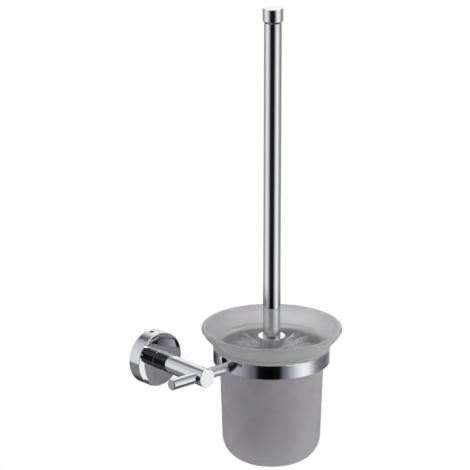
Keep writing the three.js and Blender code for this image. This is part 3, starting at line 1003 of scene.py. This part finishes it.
collar = turned("collar_disc", softened([
    (COLLAR_RADIUS, COLLAR_FOOT, 1.6),
    (COLLAR_RADIUS, COLLAR_TOP, 0.4),
    (COLLAR_SOCKET, COLLAR_TOP, 0.2),
    (COLLAR_SOCKET, HANDLE_FOOT - 0.2, 0.2),
    (SCREW_CLEARANCE, HANDLE_FOOT - 0.2, 0.2),
    (SCREW_CLEARANCE, COLLAR_FOOT, 0.2),
], 6, loop=True), 160)
collar.data.transform(AT_THE_CUP)
finished(collar, mirror_chrome("collar_chrome", (1, 1, 0.3)), "brush", "handle_collar")

stud_outline = [(0, STUD_FOOT), (2.0, STUD_FOOT), (2.3, STUD_FOOT + 0.3)]
stud_outline += threaded_run(M6_CREST, 0.55, M6_PITCH, STUD_FOOT + 0.5, STUD_TOP - 0.5)
stud_outline += [(2.3, STUD_TOP - 0.3), (2.0, STUD_TOP), (0, STUD_TOP)]
stud = turned("threaded_stud", stud_outline, 72)
stud.data.transform(AT_THE_CUP)
finished(stud, zinc, "brush", "brush_stud", 40)


# Brush core. A white moulded stick, flanged under the collar and rounded below, into which the
# tufts are stapled. Its bore takes the stud.
CORE_RADIUS = 9
CORE_TOP = 8.7
CORE_FOOT = -62
CORE_FLANGE = 10.2
CORE_BORE = 3.1
CORE_BORE_END = -16

white_plastic, white_shader = finish("white_moulded_plastic", (0.88, 0.88, 0.86), 0, 0.32)
white_shader.inputs["Subsurface Weight"].default_value = 0.15
white_shader.inputs["Subsurface Radius"].default_value = (0.003, 0.003, 0.0025)
tinted(white_plastic, grain(white_plastic, 50), white_shader.inputs["Base Color"],
       (0.85, 0.85, 0.83), (0.91, 0.91, 0.9))
spread(white_plastic, grain(white_plastic, 300), white_shader.inputs["Roughness"], 0.28, 0.42)
roughened(white_plastic, grain(white_plastic, 1500), white_shader, 0.02)

core = turned("brush_core_stick", softened([
    (0, CORE_FOOT),
    (CORE_RADIUS, CORE_FOOT, 4),
    (CORE_RADIUS, CORE_TOP - 4, 0.8),
    (CORE_FLANGE, CORE_TOP - 3, 0.4),
    (CORE_FLANGE, CORE_TOP, 0.5),
    (CORE_BORE, CORE_TOP, 0.2),
    (CORE_BORE, CORE_BORE_END, 0.2),
    (0, CORE_BORE_END),
], 6), 96)
core.data.transform(AT_THE_CUP)
finished(core, white_plastic, "brush", "brush_core")


# Bristles. Clear nylon filaments bundled in tufts and stapled into the core, row above row and
# staggered, with a last set fanning out of its rounded end to sweep the bottom of the bowl.
BRISTLE_THICK = 0.17
BRISTLE_JOINTS = 4
BRISTLE_BOWS = [(0, 0.5), (0, 0.5), (-0.3, 0.6)]
BRISTLES_IN_TUFT = 20
TUFT_HOLE = 0.9
TUFT_SPLAY = 0.16
TUFTS_IN_ROW = 14
TUFT_ROWS = 14
ROW_BOTTOM = -56
ROW_PITCH = 4.6
RAISED_ROWS = 2
ROW_RISE = 0.04
BRUSH_FOOT_RADIUS = 36.8
BRUSH_WIDENS = 0.03
END_TUFTS = [(12, -0.45), (10, -0.95), (7, -1.9), (3, -6)]
END_REACH = 29.5
END_DEPTH = 24.5
random_bend = random.Random(11)
bristle_build = bmesh.new()


def bristle(root, along, length, bend):
    """One three-sided filament, slightly bowed, with a blunt tip."""
    across = along.orthogonal().normalized()
    other = along.cross(across).normalized()
    previous = None
    for step in range(BRISTLE_JOINTS + 1):
        t = step / BRISTLE_JOINTS
        centre = root + along * (length * t) + bend * (t * t)
        thick = BRISTLE_THICK * (1 if step < BRISTLE_JOINTS else 0.6)
        ring = []
        for corner in range(3):
            angle = math.tau * corner / 3
            aside = across * (thick * math.cos(angle)) + other * (thick * math.sin(angle))
            ring.append(bristle_build.verts.new((centre + aside) * MM))
        if previous:
            for corner in range(3):
                following = (corner + 1) % 3
                bristle_build.faces.new((
                    previous[corner], previous[following], ring[following], ring[corner],
                ))
        else:
            bristle_build.faces.new(list(reversed(ring)))
        previous = ring
    bristle_build.faces.new(previous)


def tuft(root, along, length):
    """A bundle of filaments that leave one hole and splay a little."""
    side = along.orthogonal().normalized()
    other = along.cross(side).normalized()
    for number in range(BRISTLES_IN_TUFT):
        angle = random_bend.uniform(0, math.tau)
        spread_by = math.sqrt(random_bend.random())
        offset = side * math.cos(angle) + other * math.sin(angle)
        start = root + offset * (TUFT_HOLE * spread_by)
        heading = (along + offset * (TUFT_SPLAY * spread_by)).normalized()
        bend = Vector([random_bend.gauss(*bow) for bow in BRISTLE_BOWS])
        bristle(start, heading, length * random_bend.uniform(0.94, 1.0), bend)


for row in range(TUFT_ROWS):
    height = ROW_BOTTOM + row * ROW_PITCH
    rise = max(0, row - TUFT_ROWS + RAISED_ROWS + 1) * ROW_RISE
    for place_in_row in range(TUFTS_IN_ROW):
        angle = math.tau * (place_in_row + 0.5 * (row % 2)) / TUFTS_IN_ROW
        out = Vector((math.cos(angle), math.sin(angle), rise)).normalized()
        spoke = Vector((math.cos(angle), math.sin(angle), 0))
        root = spoke * (CORE_RADIUS - 0.8) + Vector((0, 0, height))
        tuft(root, out, BRUSH_FOOT_RADIUS - CORE_RADIUS + (height - ROW_BOTTOM) * BRUSH_WIDENS)

for ring_number, (tufts, slope) in enumerate(END_TUFTS):
    for place_in_ring in range(tufts):
        angle = math.tau * (place_in_ring + 0.5 * (ring_number % 2)) / tufts
        out = Vector((math.cos(angle), math.sin(angle), slope)).normalized()
        root = Vector((0, 0, CORE_FOOT + 5)) + out * 5.5
        down = -out.z
        tuft(root, out, min(END_REACH, END_DEPTH / down) if down > 0.5 else END_REACH)

bristles = whole("bristle_tufts", bristle_build)
bristles.data.transform(AT_THE_CUP)

nylon, nylon_shader = finish("clear_nylon", (0.9, 0.87, 0.9), 0, 0.3)
nylon_shader.inputs["Transmission Weight"].default_value = 0.2
nylon_shader.inputs["IOR"].default_value = 1.5
tinted(nylon, grain(nylon, 120), nylon_shader.inputs["Base Color"],
       (0.9, 0.88, 0.91), (0.97, 0.96, 0.98))
spread(nylon, grain(nylon, 400), nylon_shader.inputs["Roughness"], 0.22, 0.4)
finished(bristles, nylon, "brush", "bristles")
